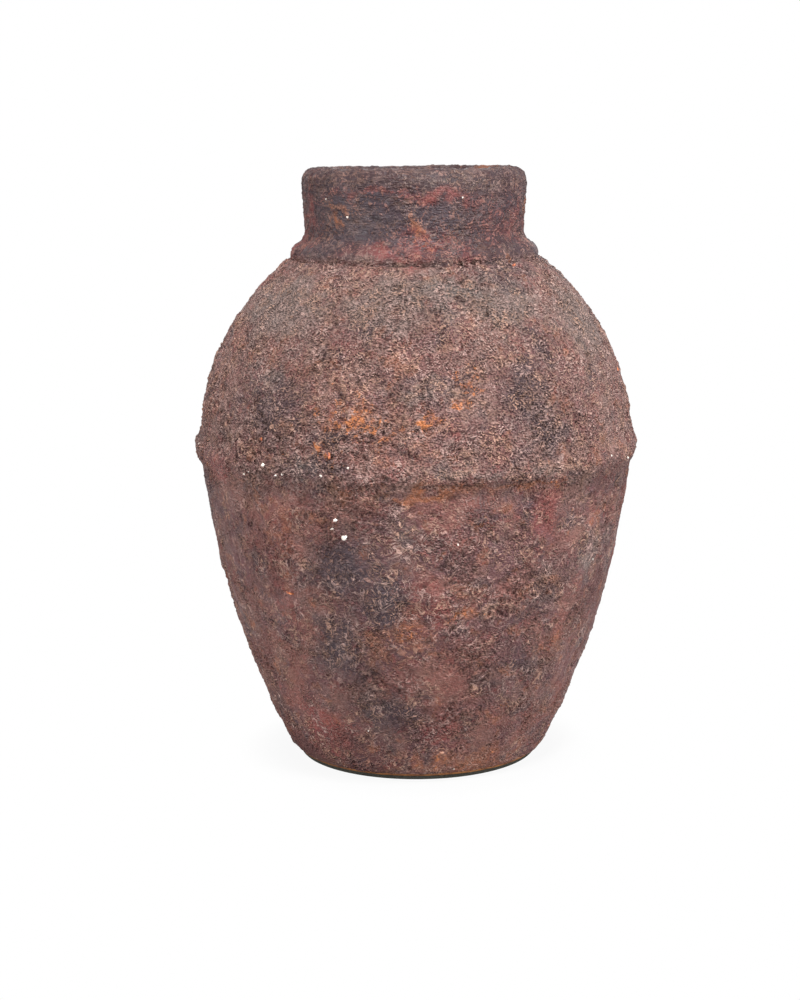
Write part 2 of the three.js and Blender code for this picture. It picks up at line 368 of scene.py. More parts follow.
def ripple(places, size, shift=0.0):
    """Smooth random heights, mostly between -1 and 1, with features of the given size.

    The shift moves to another part of the same randomness, so that no two kinds of relief agree.
    """
    spot = places / size + shift
    cell = np.floor(spot).astype(int)
    inside = spot - cell
    ease = inside**3 * (inside * (inside * 6 - 15) + 10)
    total = np.zeros(len(places))
    for corner in itertools.product((0, 1), repeat=3):
        x, y, z = ((cell + corner) % LATTICE).T
        way = DIRECTIONS[SHUFFLE[(SHUFFLE[(SHUFFLE[x] + y) % LATTICE] + z) % LATTICE]]
        share = np.prod(np.where(corner, ease, 1 - ease), axis=1)
        total += share * np.einsum("ij,ij->i", way, inside - corner)
    return total * RIPPLE_GAIN


def soft_step(value, low, high):
    """0 at low, 1 at high, and an eased climb between them."""
    t = np.clip((value - low) / (high - low), 0, 1)
    return t * t * (3 - 2 * t)


def drift(places, size, shift=0.0):
    """A smooth random push in each direction."""
    return np.stack([ripple(places, size, shift + s) for s in DRIFT_SHIFTS], axis=1)


def ridged(places, size, shift, steepness):
    """Sharp ridges: 1 on their crests, falling to hollows of -0.5."""
    return np.clip(1 - steepness * np.abs(ripple(places, size, shift)), -0.5, 1)


def creased(places, level, half_width, wander, size, shift):
    """1 along a level line that wanders up and down, and 0 away from it."""
    away = np.abs(places[:, 2] - level - wander * ripple(places, size, shift))
    return soft_step(away, half_width, 0.0)


def lumps(places):
    """The crust's main lumps on the lower body and on the shoulder."""
    x, y, z = places.T
    angle = np.arctan2(x, -y)
    edges = 0
    for low, high in ((FOOT + BARE_EDGE, BAND_LOW - SLIP), (GIRTH + BAND_ABOVE + BAND_BLEND, LEDGE)):
        low, high = low / MM, high / MM
        edges = edges + soft_step(z, low, low + LUMP_EDGE) * soft_step(high - z, 0, LUMP_EDGE)
    sway = LUMP_SWAY * np.sin(4 * angle) * np.cos(math.pi * z / LUMP_LENGTH)
    rise = LUMP_RISE * np.cos(6 * angle)
    across = np.cos(LUMPS_ROUND * (angle + sway))
    return LUMP_HEIGHT * edges * across * np.cos(2 * math.pi * (z + rise) / LUMP_LENGTH)


def spread(places, patches):
    """How strongly patches cover places."""
    x, y, z = places.T
    angle, radius = np.arctan2(x, -y), np.hypot(x, y)
    total = np.zeros(len(x))
    for degrees, height, wide, tall, strength in patches:
        turn = (angle - math.radians(degrees) + math.pi) % (2 * math.pi) - math.pi
        away = (turn * radius / wide) ** 2 + ((z - height) / tall) ** 2
        total = np.maximum(total, strength * np.exp(-away))
    return total


def strands(places):
    """Thin ridges of crust along the drawn strands."""
    x, y, z = places.T
    angle, radius = np.arctan2(x, -y), np.hypot(x, y)
    total = np.zeros(len(x))
    for (turn_a, height_a), (turn_b, height_b) in STRANDS:
        one = np.column_stack([(angle - math.radians(turn_a)) * radius, z - height_a])
        way = np.array([math.radians(turn_b - turn_a) * radius.mean(), height_b - height_a])
        run = np.clip(one @ way / (way @ way), 0, 1)
        away = np.hypot(*(one - run[:, None] * way).T)
        total = np.maximum(total, soft_step(away, STRAND_HALF_WIDTH, 0.0) * (1 - 0.6 * run))
    return total


def crust_relief(places):
    """The crust at places in millimetres: its swell and relief, and its shares of each finish."""
    height = places[:, 2]
    body = soft_step(height, FLAKED_ABOVE, COMBED_BELOW)
    neck = soft_step(height, NECK_START, NECK_FULL)
    push = drift(places, 19)
    bent = places + 5 * push
    flattened = bent * (1, 1, 1.5)

    # Wide swells, less the stretches where the girth ridge is worn soft
    swell = SWELL_HEIGHT * lumps(places) + SWELL_HEIGHT * ripple(places, 31, 5.1)
    swell = swell - spread(places, SOFT_BAND) * band_swell(height * MM) / MM

    # Where the surface is gritty, and where it is thick with flakes
    patch = soft_step(ripple(places, 38, 21.4) + 0.4 * ripple(places, 16, 24.9), -0.35, 0.45)
    crusty = soft_step(ripple(places, 34, 53.1) + 0.5 * ripple(places, 13, 55.7), -0.15, 0.35)
    craggy = spread(bent, CRAGS)
    gritty = 1 - (0.15 + 0.45 * (1 - patch)) * body - 0.6 * neck
    gritty = np.maximum(gritty, 0.9 * craggy)

    # Crests, knobs and flakes, with pits between them
    crests = CREST_HEIGHT * (0.5 - 2 * np.abs(ripple(flattened, 8.5, 2.2)))
    knobs = 0.5 * ripple(places, 9, 3.3) + 0.55 * ripple(bent, 4.6, 6.6)
    knobs = knobs + 0.3 * ripple(places, 2.8, 9.4)
    flakes = (0.4 + 0.9 * crusty) * ridged(flattened, 6.4, 51.3, 3.2)
    pits = soft_step(ripple(places, 7.5, 12.5), 0.42, 0.7) * (1 - 0.6 * neck)
    relief = gritty * (crests + knobs + flakes) - PIT_DEPTH * pits

    # Threads and strands
    line = np.abs(ripple(places + 9 * push, 15, 15.1))
    threads = soft_step(line, 0.07, 0.0) * soft_step(ripple(places, 42, 18.2), -0.1, 0.35)
    threads = np.maximum(threads, strands(places + 3 * push))
    relief = relief + (0.25 + 0.6 * body) * threads

    # Brushed ridges on the neck, crags, and the creases under the girth ridge and the neck ring
    ridges = soft_step(np.abs(ripple(bent * (0.4, 0.4, 1), 6, 27.3)), 0.2, 0.0) * neck
    crags = craggy * ridged(bent * (1, 1, 1.3), 7, 31.2, 2.4)
    creases = creased(places, BAND_CREASE, 2.2, 0.8, 20, 33.3) * spread(bent, CREASES)
    creases += creased(places, RING_CREASE, 2.0, 0.5, 18, 36.1) * spread(places, RING_CREASES)
    relief = relief + RIDGE_HEIGHT * ridges + CRAG_HEIGHT * crags - CREASE_DEPTH * creases
    return {
        "swell": swell,
        "relief": relief,
        "gritty": gritty * (0.75 + 0.4 * crusty),
        "thready": 0.25 + 0.75 * body,
        "wrinkled": neck,
    }


def roughen(made):
    """Lifts the outer face by the crust's relief, and keeps its values for the colours."""
    mesh = made.data
    places = np.empty(len(mesh.vertices) * 3, dtype=np.float32)
    mesh.vertices.foreach_get("co", places)
    places = places.reshape(-1, 3).astype(float)
    share = np.empty(len(places), dtype=np.float32)
    lean = np.empty(len(places), dtype=np.float32)
    mesh.attributes["outer"].data.foreach_get("value", share)
    mesh.attributes["lean"].data.foreach_get("value", lean)
    found = crust_relief(places / MM)
    rise = (found.pop("swell") + found["relief"]) * share * MM
    round_way = places[:, :2] / np.hypot(places[:, 0], places[:, 1])[:, None]
    normal = np.column_stack([round_way * np.cos(lean)[:, None], np.sin(lean)])
    places += normal * rise[:, None]
    mesh.vertices.foreach_set("co", places.ravel())
    for name, values in found.items():
        mesh.attributes.new(name, "FLOAT", "POINT").data.foreach_set("value", values)
    mesh.update()


def crust_ring(name, outer_line, inner_line, turns, finish, node, start=1.0):
    """A ring of crust between two lines, roughened outside. Start is its low edge's share of relief."""
    outside = evenly(outer_line, CRUST_STEP)
    hold = JOIN_ROW / CRUST_STEP
    for i, j in ((0, 1), (-1, -2)):
        near, far = np.array(outside[i]), np.array(outside[j])
        outside.insert(1 if i == 0 else -1, tuple(near + (far - near) * hold))
    inside = evenly(inner_line, CRUST_STEP * 8)
    along = np.gradient(np.array(outside), axis=0)
    lean = list(np.arctan2(-along[:, 0], along[:, 1]))
    climb = (1 - start) * CRUST_STEP / RELIEF_RUN
    fade = [min(1, start + climb * i) for i in range(len(outside))]
    still = [0.0] * len(inside)
    bm = turned(outside + inside[::-1], turns, outer=fade + still, lean=lean + still)
    made = piece(name, bm, finish, "crust", node)
    roughen(made)
    tint(made)


# Finishes

# Places of the mix node's share and its two values, as numbers and as colours
NUMBER_MIX = (0, 2, 3)
COLOUR_MIX = (0, 6, 7)

# The step in soft noise that cuts a flake's edge
FLAKE_EDGE = (0.565, 0.62)


class Finish:
    """A material and the few kinds of node that the jar's surfaces are painted with."""

    def __init__(self, name, roughness, specular):
        self.material = bpy.data.materials.new(name)
        self.material.use_nodes = True
        self.tree = self.material.node_tree
        self.shader = self.tree.nodes["Principled BSDF"]
        self.shader.inputs["Roughness"].default_value = roughness
        self.shader.inputs["Specular IOR Level"].default_value = specular
        self.place = self.add("ShaderNodeTexCoord").outputs["Object"]

    def add(self, kind, settings=None, **inputs):
        """A new node, with its settings and with values or links for its inputs."""
        node = self.tree.nodes.new(kind)
        for key, value in (settings or {}).items():
            setattr(node, key, value)
        for key, value in inputs.items():
            self.put(node.inputs[key.replace("_", " ")], value)
        return node

    def put(self, socket, value):
        """Links another node's output to a socket, or sets its plain value."""
        if isinstance(value, bpy.types.NodeSocket):
            self.tree.links.new(value, socket)
        else:
            socket.default_value = value

    def stretched(self, level, up):
        """Object coordinates scaled on the level and upwards: under 1, a pattern is drawn out."""
        made = self.add("ShaderNodeMapping", Vector=self.place, Scale=(level, level, up))
        return made.outputs["Vector"]

    def mottle(self, size, detail=2.0, rough=0.5, bend=0.0, place=None):
        """Soft noise with features of about the given size."""
        made = self.add(
            "ShaderNodeTexNoise",
            Vector=place or self.place,
            Scale=1 / size,
            Detail=detail,
            Roughness=rough,
            Distortion=bend,
        )
        return made.outputs["Fac"]

    def dabs(self, size, squeeze, place):
        """Coordinates cut into dabs of a brush, each turned its own way and drawn out along it."""
        wave = self.add("ShaderNodeTexNoise", Vector=place, Scale=1.5 / size, Detail=2.0)
        wave = self.vector("SUBTRACT", wave.outputs["Color"], (0.5, 0.5, 0.5))
        bent = self.vector("ADD", place, self.vector("MULTIPLY", wave, [size] * 3))
        cells = self.add("ShaderNodeTexVoronoi", Vector=bent, Scale=1 / size)
        inner = self.vector("SUBTRACT", bent, cells.outputs["Position"])
        turn = self.vector("MULTIPLY", cells.outputs["Color"], [2 * math.pi] * 3)
        made = self.add(
            "ShaderNodeVectorRotate", {"rotation_type": "EULER_XYZ"}, Vector=inner, Rotation=turn
        )
        drawn_out = self.vector("MULTIPLY", made.outputs["Vector"], (squeeze, 1, 1))
        return self.vector("ADD", drawn_out, cells.outputs["Color"])

    def flakes(self, size, cell, squeeze, drop):
        """Small raised flakes with crisp edges, and a painted shadow below each, where no flake covers.
        """
        below = self.vector("ADD", self.place, (0, 0, drop))
        flake, under = (
            self.between(self.mottle(size, 0, place=self.dabs(cell, squeeze, place)), *FLAKE_EDGE)
            for place in (self.place, below)
        )
        return flake, self.times(under, self.math("SUBTRACT", 1.0, flake))

    def vector(self, operation, one, other, output="Vector"):
        """Arithmetic on two vectors."""
        made = self.add("ShaderNodeVectorMath", {"operation": operation})
        self.put(made.inputs[0], one)
        self.put(made.inputs[1], other)
        return made.outputs[output]

    def off_middle(self, value):
        """Noise about 0 instead of about a half."""
        return self.math("SUBTRACT", value, 0.5)

    def kept(self, name):
        """A value that the mesh keeps at its points."""
        return self.add("ShaderNodeAttribute", {"attribute_name": name}).outputs["Fac"]

    def sum(self, one, other):
        return self.math("ADD", one, other)

    def times(self, one, other):
        return self.math("MULTIPLY", one, other)

    def line(self, value, width):
        """A thin line where the value crosses its middle."""
        away = self.add("ShaderNodeMath", {"operation": "ABSOLUTE"})
        self.put(away.inputs[0], self.off_middle(value))
        return self.between(away.outputs[0], width, 0.0)

    def math(self, operation, one, other):
        """Arithmetic on two numbers."""
        made = self.add("ShaderNodeMath", {"operation": operation})
        self.put(made.inputs[0], one)
        self.put(made.inputs[1], other)
        return made.outputs[0]

    def between(self, value, low, high, least=0.0, most=1.0):
        """A soft step from least at low to most at high."""
        made = self.add(
            "ShaderNodeMapRange",
            {"interpolation_type": "SMOOTHSTEP"},
            Value=value,
            From_Min=low,
            From_Max=high,
            To_Min=least,
            To_Max=most,
        )
        return made.outputs["Result"]

    def blend(self, share, under, over):
        """A number between two others."""
        made = self.add("ShaderNodeMix")
        for i, value in zip(NUMBER_MIX, (share, under, over)):
            self.put(made.inputs[i], value)
        return made.outputs[0]

    def mix(self, share, under, over):
        """One colour laid over another."""
        made = self.add("ShaderNodeMix", {"data_type": "RGBA"})
        for i, value in zip(COLOUR_MIX, (share, under, over)):
            self.put(made.inputs[i], value)
        return made.outputs[2]

    def bump(self, height, depth, under=None):
        """Fine relief, on top of another bump's if one is given."""
        made = self.add("ShaderNodeBump", Height=height, Distance=depth)
        if under:
            self.put(made.inputs["Normal"], under)
        return made.outputs["Normal"]

    def done(self, colour, normal, roughness=None):
        """The finished material."""
        self.put(self.shader.inputs["Base Color"], colour)
        self.put(self.shader.inputs["Normal"], normal)
        if roughness:
            self.put(self.shader.inputs["Roughness"], roughness)
        return self.material


def crust_finish():
    """Layers of earth colours under flakes, grain and threads, which the mesh's own values steer."""
    f = Finish("rusty_sanded_crust", 0.55, 0.25)
    gritty, thready, wrinkled, relief = (
        f.kept(name) for name in ("gritty", "thready", "wrinkled", "relief")
    )
    streaky = f.between(thready, 0.25, 1.0)
    sandy = f.between(wrinkled, 1.0, 0.0, 0.4, 1.0)
    rough = f.sum(gritty, f.times(f.off_middle(f.mottle(12 * MM, 3, 0.6)), 1.6))
    rough = f.between(rough, 0.1, 1.0, 0.3, 1.0)

    # Flakes on the shoulder that turn to streaks on the lower body, each with a painted shadow below it
    flake, painted_flake_shadow = f.flakes(1.5 * MM, 8 * MM, 0.34, 0.9 * MM)
    streak, painted_streak_shadow = f.flakes(1.5 * MM, 18 * MM, 0.2, 0.8 * MM)
    flake = f.blend(streaky, flake, streak)
    painted_flake_shadow = f.blend(streaky, painted_flake_shadow, painted_streak_shadow)

    # Grain, which is brushed on the neck
    grain = f.off_middle(f.mottle(1.5 * MM, 0, place=f.stretched(0.9, 1.2)))
    brushed = f.off_middle(f.mottle(1.6 * MM, 0, place=f.stretched(0.35, 1.2)))
    grain = f.sum(f.times(grain, sandy), f.times(brushed, f.times(wrinkled, 0.4)))
    grain = f.times(grain, f.between(streaky, 0.0, 1.0, 1.25, 0.85))

    # Threads on the body and wrinkles on the neck
    thread = f.line(f.mottle(8 * MM, 2, 0.5, 1.0), 0.045)
    thread = f.times(thread, f.times(thready, f.between(f.mottle(24 * MM, 2), 0.45, 0.6)))
    wrinkle = f.line(f.mottle(5 * MM, 2, 0.5, 0.6, place=f.stretched(0.35, 1.2)), 0.06)
    wrinkle = f.times(wrinkle, f.times(wrinkled, f.between(f.mottle(16 * MM, 2), 0.4, 0.6)))
    combed = f.sum(thread, f.times(wrinkle, 0.18))

    sand = f.times(f.sum(flake, f.times(grain, 3.2)), rough)
    height = f.sum(sand, f.times(combed, 1.2))
    blotch = f.off_middle(f.mottle(10 * MM, 5, 0.65, 0.4))
    ragged = f.sum(f.times(blotch, 1.4), f.times(flake, 0.3))

    # The ground and the washes over it: colour, size, detail, bend, the step that bounds it, most
    colour = f.mix(f.between(f.mottle(60 * MM, 3, 0.5), 0.35, 0.65), EARTH_BROWN, WARM_BROWN)
    colour = f.mix(f.between(f.mottle(32 * MM, 3, 0.55, 0.4), 0.46, 0.6, 0, 0.7), colour, PLUM)
    olive = f.between(f.mottle(26 * MM, 3, 0.55, 0.3), 0.46, 0.6)
    olive = f.times(olive, f.between(thready, 1.0, 0.25, 0.25, 0.5))
    colour = f.mix(olive, colour, OLIVE_BROWN)
    colour = f.mix(f.between(thready, 0.6, 0.25, 0, 0.28), colour, MAUVE_BROWN)
    for over, size, detail, bend, low, high, most in (
        (CHARCOAL, 24 * MM, 4, 0.6, 0.53, 0.66, 0.65),
        (RUST, 16 * MM, 3, 0.2, 0.57, 0.68, 0.4),
        (OXIDE_RED, 12 * MM, 3, 0.8, 0.58, 0.68, 0.4),
    ):
        wash = f.between(f.mottle(size, detail, 0.55, bend), low, high, 0, most)
        colour = f.mix(wash, colour, over)
    colour = f.mix(f.times(wrinkled, 0.9), colour, NECK_SHADE)

    # Patches that the mesh keeps: name, colour, most
    for name, over, most in (
        ("charcoal", CHARCOAL, 0.85),
        ("oxide", OXIDE_RED, 0.7),
        ("rust", RUST, 0.55),
        # Dust, with painted sheen on the upward shoulder and painted highlight on the girth ridge's top
        ("dust_and_sheen", DUST_AND_SHEEN, 0.68),
    ):
        share = f.between(f.sum(f.kept(name), ragged), 0.2, 0.85, 0, most)
        colour = f.mix(share, colour, over)

    # Painted shade: darker where the relief and the grain dip, and below the flakes and the streaks
    patchy = f.between(f.mottle(15 * MM, 4, 0.6), 0.4, 0.6, 0.32, 1.0)
    calm = f.between(f.mottle(34 * MM, 3, 0.5), 0.4, 0.55, 0.25, 1.0)
    patchy = f.times(patchy, f.blend(streaky, 1.0, calm))
    # Painted shade where the relief dips (its hollows, pits and creases) and in the grain's low points
    colour = f.mix(f.between(relief, 0.0, -1.4, 0, 0.5), colour, PAINTED_HOLLOW_SHADE)
    colour = f.mix(f.times(rough, f.between(grain, 0.02, -0.16, 0, 0.62)), colour, PAINTED_HOLLOW_SHADE)
    # Painted shadow below the flakes and the streaks
    colour = f.mix(f.times(f.times(patchy, rough), painted_flake_shadow), colour, PAINTED_HOLLOW_SHADE)

    # Pale crests, part dry-brushed paint and part painted highlight, bright rust where bare, fewer on
    # the neck
    fleck = f.sum(f.kept("fleck"), f.times(f.off_middle(f.mottle(4 * MM, 3)), 2.6))
    bare = f.between(fleck, 0.5, 0.8)
    crest_paint_and_highlight = f.mix(f.between(f.mottle(14 * MM, 3), 0.42, 0.6), PALE_CREST_AND_HIGHLIGHT, TAN_CREST_AND_HIGHLIGHT)
    crest_paint_and_highlight = f.mix(bare, crest_paint_and_highlight, BRIGHT_RUST)
    shown = f.between(wrinkled, 1.0, 0.0, 0.15, 1.0)
    rim = f.times(flake, f.between(streaky, 0.0, 1.0, 0.6, 0.36))
    # Painted highlight on the flakes, the grain's peaks and the relief's crests, over pale crest paint
    colour = f.mix(f.times(f.times(patchy, shown), rim), colour, crest_paint_and_highlight)
    colour = f.mix(f.times(f.times(rough, shown), f.between(grain, 0.06, 0.24, 0, 0.22)), colour, crest_paint_and_highlight)
    colour = f.mix(f.times(shown, f.between(relief, 0.7, 1.7, 0, 0.35)), colour, crest_paint_and_highlight)
    colour = f.mix(f.times(bare, f.between(relief, 0.6, 1.6, 0, 0.5)), colour, BRIGHT_RUST)
    colour = f.mix(f.times(combed, 0.7), colour, crest_paint_and_highlight)
    roughness = f.between(blotch, -0.15, 0.15, 0.42, 0.66)
    return f.done(colour, f.bump(height, 1 * MM), roughness)


def terracotta_finish():
    """Fired clay with sand in it and fine rings from throwing."""
    f = Finish("fired_terracotta", 0.85, 0.3)
    tone = f.between(f.mottle(30 * MM, 3), 0.3, 0.7)
    colour = f.mix(tone, TERRACOTTA, TERRACOTTA_SHADE)
    sand = f.mottle(1.6 * MM, 3, 0.6)
    colour = f.mix(f.between(sand, 0.6, 0.75, 0, 0.4), colour, CLAY_SAND)
    rings = f.mottle(4 * MM, 2, place=f.stretched(0.06, 1))
    normal = f.bump(sand, 0.4 * MM, f.bump(rings, 0.8 * MM))
    return f.done(colour, normal)


def bare_clay_finish():
    """The tan clay of the floor, whose edge shows under the crust."""
    f = Finish("bare_clay_edge", 0.85, 0.3)
    tone = f.between(f.mottle(9 * MM, 4, 0.6), 0.35, 0.65)
    colour = f.mix(tone, BARE_CLAY, BARE_CLAY_SHADE)
    sand = f.mottle(1.4 * MM, 3, 0.6)
    return f.done(colour, f.bump(sand, 0.5 * MM))


def felt_finish():
    """Black felt with greyer fibres."""
    f = Finish("black_felt", 0.95, 0.15)
    fibre = f.mottle(0.9 * MM, 4, 0.7)
    colour = f.mix(f.between(fibre, 0.35, 0.7), FELT_BLACK, FELT_FIBRE)
    return f.done(colour, f.bump(fibre, 0.4 * MM))


def lime_finish():
    """White lime with a warm shade."""
    f = Finish("lime_chip", 0.7, 0.3)
    tone = f.between(f.mottle(1.5 * MM, 3), 0.35, 0.7)
    colour = f.mix(tone, LIME, LIME_SHADE)
    return f.done(colour, f.bump(f.mottle(0.8 * MM, 3), 0.3 * MM))


def rust_chip_finish():
    """Orange rust stained with red."""
    f = Finish("rust_chip", 0.6, 0.3)
    tone = f.between(f.mottle(2.2 * MM, 3), 0.38, 0.62)
    colour = f.mix(tone, RUST_CHIP, OXIDE_RED)
    return f.done(colour, f.bump(f.mottle(1.2 * MM, 2), 0.5 * MM))


# Patches on the crust, of colour or of relief: (degrees round from the front, height, half width,
# half height, strength), in millimetres. Angles run to the right of the photographed side.

CHARCOAL_SMUDGES = [
    (-28, 426, 52, 22, 1.1), (-13, 412, 12, 8, 0.8), (8, 424, 30, 12, 0.9), (52, 432, 30, 12, 0.7),
    (37, 383, 22, 12, 0.9), (17, 386, 18, 6, 0.6), (-12, 348, 16, 10, 0.9), (-40, 292, 40, 34, 0.8),
    (-22, 270, 18, 10, 0.9), (29, 303, 30, 26, 0.8), (37, 328, 18, 20, 0.65), (36, 270, 28, 16, 0.75),
    (-26, 250, 46, 12, 0.8), (-22, 178, 30, 24, 1.0), (-10, 150, 28, 26, 1.0), (15, 221, 14, 12, 0.6),
    (29, 214, 12, 18, 0.8), (-25, 110, 26, 30, 0.9), (16, 372, 22, 8, 0.9), (-8, 60, 26, 22, 0.8),
    (36, 95, 20, 22, 0.7), (33, 140, 26, 20, 0.6), (5, 180, 22, 12, 0.5),
]
OXIDE_WASHES = [
    (5, 409, 26, 8, 0.6), (-14, 397, 40, 9, 0.65), (21, 398, 18, 7, 0.5), (60, 420, 46, 24, 0.4),
    (-70, 424, 26, 24, 0.5), (14, 438, 34, 6, 0.7), (-20, 441, 50, 5, 0.5),
    (-26, 352, 26, 16, 0.5), (-62, 240, 14, 10, 0.9), (-36, 195, 16, 20, 0.5), (4, 150, 24, 30, 0.6),
    (34, 215, 20, 22, 0.7), (-38, 42, 26, 22, 0.9), (8, 46, 20, 18, 0.8), (-42, 140, 22, 18, 0.5),
    (0, 250, 40, 8, 0.5),
]
RUST_PATCHES = [
    (2, 418, 5, 12, 0.5), (-42, 427, 8, 8, 0.7), (-18, 290, 34, 26, 0.4), (-8, 275, 20, 12, 0.3),
    (10, 300, 16, 12, 0.4), (3, 281, 14, 8, 0.5), (1, 236, 34, 4, 1.0), (28, 235, 30, 3, 0.9),
    (-37, 205, 14, 22, 0.5), (-3, 126, 26, 18, 0.5), (14, 139, 16, 8, 0.6), (20, 16, 60, 12, 0.7),
    (-12, 112, 14, 14, 0.6),
]
# Dust, and painted sheen on the upward shoulder and painted highlight on the girth ridge's top
DUST_AND_SHEEN_BLOOMS = [
    (-50, 360, 60, 26, 0.9), (-12, 366, 50, 24, 0.8), (30, 362, 50, 24, 0.9), (64, 350, 50, 36, 0.9),
    (3, 372, 60, 14, 0.9), (-26, 394, 20, 8, 0.5), (18, 452, 60, 6, 0.35), (1, 304, 30, 6, 0.6),
    (10, 250, 40, 6, 0.7), (34, 247, 16, 6, 0.6), (55, 170, 20, 16, 0.7), (-30, 252, 20, 10, 0.5),
    (-45, 312, 24, 14, 0.5), (0, 200, 40, 16, 0.3), (60, 320, 50, 60, 0.4),
]
RUST_FLECKS = [
    (2, 416, 5, 11, 0.75), (-42, 427, 9, 9, 0.8), (-6, 404, 4, 3, 1.0), (8, 403, 5, 2, 1.0),
    (18, 415, 6, 3, 0.6), (47, 392, 6, 3, 1.0), (13, 310, 7, 14, 0.9), (10, 295, 9, 6, 1.0),
    (3, 281, 12, 6, 1.0), (-18, 284, 26, 14, 0.9), (-8, 275, 14, 8, 0.8), (-23, 297, 12, 12, 0.7),
    (-22, 260, 6, 14, 0.7), (0, 236, 34, 2.5, 1.0), (36, 235, 14, 2, 1.0), (23, 235, 6, 4, 0.7),
    (17, 217, 5, 5, 0.7), (14, 139, 12, 3, 0.8), (43, 103, 4, 8, 0.7), (32, 64, 6, 6, 0.7),
    (-3, 127, 18, 12, 0.7), (9, 14, 12, 5, 0.6), (31, 15, 10, 5, 0.7), (-70, 245, 10, 8, 0.8),
]
CRAGS = [
    (11, 303, 12, 16, 1.0), (3, 284, 14, 9, 1.0), (-20, 296, 16, 18, 0.9), (-12, 288, 14, 14, 0.8),
    (3, 302, 16, 5, 0.7), (-25, 265, 22, 8, 0.8), (-3, 267, 16, 8, 0.7), (11, 266, 16, 8, 0.7),
    (-18, 342, 14, 9, 0.5), (-52, 265, 14, 16, 0.8), (40, 250, 24, 9, 0.8), (70, 262, 14, 18, 0.8),
    (-75, 300, 20, 40, 0.6), (20, 140, 24, 16, 0.8), (8, 128, 14, 10, 0.6), (-5, 82, 20, 8, 0.7),
    (8, 92, 20, 8, 0.6), (38, 66, 12, 10, 0.7), (12, 25, 22, 14, 0.8), (120, 280, 30, 16, 0.9),
    (165, 150, 24, 18, 0.8), (205, 300, 26, 18, 0.9), (245, 120, 22, 14, 0.7), (270, 270, 20, 16, 0.8),
]
CREASES = [(12, 238, 90, 12, 1.0), (150, 238, 70, 12, 0.8), (245, 238, 50, 12, 0.8)]
RING_CREASES = [(4, 391, 50, 12, 1.0), (140, 391, 50, 12, 0.8), (250, 391, 40, 12, 0.8)]
SOFT_BAND = [(-32, 246, 80, 60, 0.55), (150, 246, 60, 60, 0.4)]

# Strands of crust, from the thick end to the thin one: (degrees, height) at each
STRANDS = [
    ((-22, 151), (-16, 175)), ((-22, 151), (-24, 128)), ((-22, 151), (-31, 162)),
    ((-22, 151), (-20, 129)), ((-22, 151), (-31, 132)), ((-22, 151), (-25, 171)),
    ((-16, 175), (-18, 161)), ((-16, 175), (-12, 185)), ((-24, 164), (-34, 151)),
    ((-20, 129), (-18, 98)), ((-24, 128), (-31, 105)), ((-17, 121), (-13, 95)),
    ((-8, 122), (-4, 110)), ((-9, 174), (-2, 154)), ((-5, 168), (-1, 152)), ((-6, 162), (6, 174)),
]

# What is scattered over the side that faces away: its angles, and the heights and strengths of
# its patches. Its chips gather round the last height, by the girth.
HIDDEN_SIDE = (80, 280)
HIDDEN_HEIGHTS = (10, 450)
HIDDEN_STRENGTHS = (0.5, 1.0)
HIDDEN_CHIP_HEIGHTS = (20, 380, 245)


def hidden_patches(seed, count, wide, tall):
    """More patches of a kind, scattered over the side that faces away."""
    draw = random.Random(seed)
    return [
        (
            draw.uniform(*HIDDEN_SIDE),
            draw.uniform(*HIDDEN_HEIGHTS),
            draw.uniform(*wide),
            draw.uniform(*tall),
            draw.uniform(*HIDDEN_STRENGTHS),
        )
        for _ in range(count)
    ]


PATCHES = {
    "charcoal": CHARCOAL_SMUDGES + hidden_patches(3, 26, (14, 40), (10, 26)),
    "oxide": OXIDE_WASHES + hidden_patches(5, 20, (16, 40), (8, 28)),
    "rust": RUST_PATCHES + hidden_patches(8, 20, (10, 36), (6, 24)),
    "dust_and_sheen": DUST_AND_SHEEN_BLOOMS + hidden_patches(13, 16, (16, 50), (8, 20)),
    "fleck": RUST_FLECKS + hidden_patches(21, 36, (5, 20), (3, 14)),
}


def tint(made):
    """Keeps each kind of patch as a value at the mesh's points, with ragged outlines."""
    mesh = made.data
    places = np.empty(len(mesh.vertices) * 3)
    mesh.vertices.foreach_get("co", places)
    places = places.reshape(-1, 3) / MM
    ragged = places + 10 * drift(places, 24, 40.1) + 6 * drift(places, 9, 43.7)
    for name, patches in PATCHES.items():
        mesh.attributes.new(name, "FLOAT", "POINT").data.foreach_set("value", spread(ragged, patches))


# Chips caught in the crust: (degrees round from the front, height, the chip's width and height,
# its tilt in degrees), in millimetres

LIME_CHIPS = [
    (-41, 250, 3.6, 4.6, 10), (-48, 241, 3.0, 2.0, 30), (-47, 242, 1.6, 1.4, 0),
    (-37, 243, 3.0, 1.8, -10), (-35, 244, 3.0, 2.0, 20), (-24, 246, 3.2, 2.8, 0),
    (-17, 253, 2.6, 2.2, 15), (57, 249, 2.8, 2.4, 0), (68, 243, 2.4, 2.6, 30),
    (-21, 214, 3.4, 4.2, -35), (-22, 207, 4.4, 1.8, 10), (-19, 201, 5.8, 5.0, -20),
    (10, 196, 1.6, 2.6, 0), (57, 169, 2.4, 3.0, 0), (-50, 438, 1.6, 1.8, 0),
    (-36, 425, 2.6, 1.8, -30), (24, 439, 1.8, 2.2, 0), (-78, 252, 1.8, 1.8, 0),
    (-19, 44, 1.4, 1.4, 0), (15, 9, 2.0, 1.8, 0),
]
RUST_CHIPS = [
    (-38, 153, 9.5, 2.6, -8), (-43, 268, 3.4, 5.4, 10), (-22, 260, 3.0, 7.0, 4),
    (47, 388.5, 5.5, 2.6, 12),
]
CHIP_SHRINK = (0.45, 1.0)


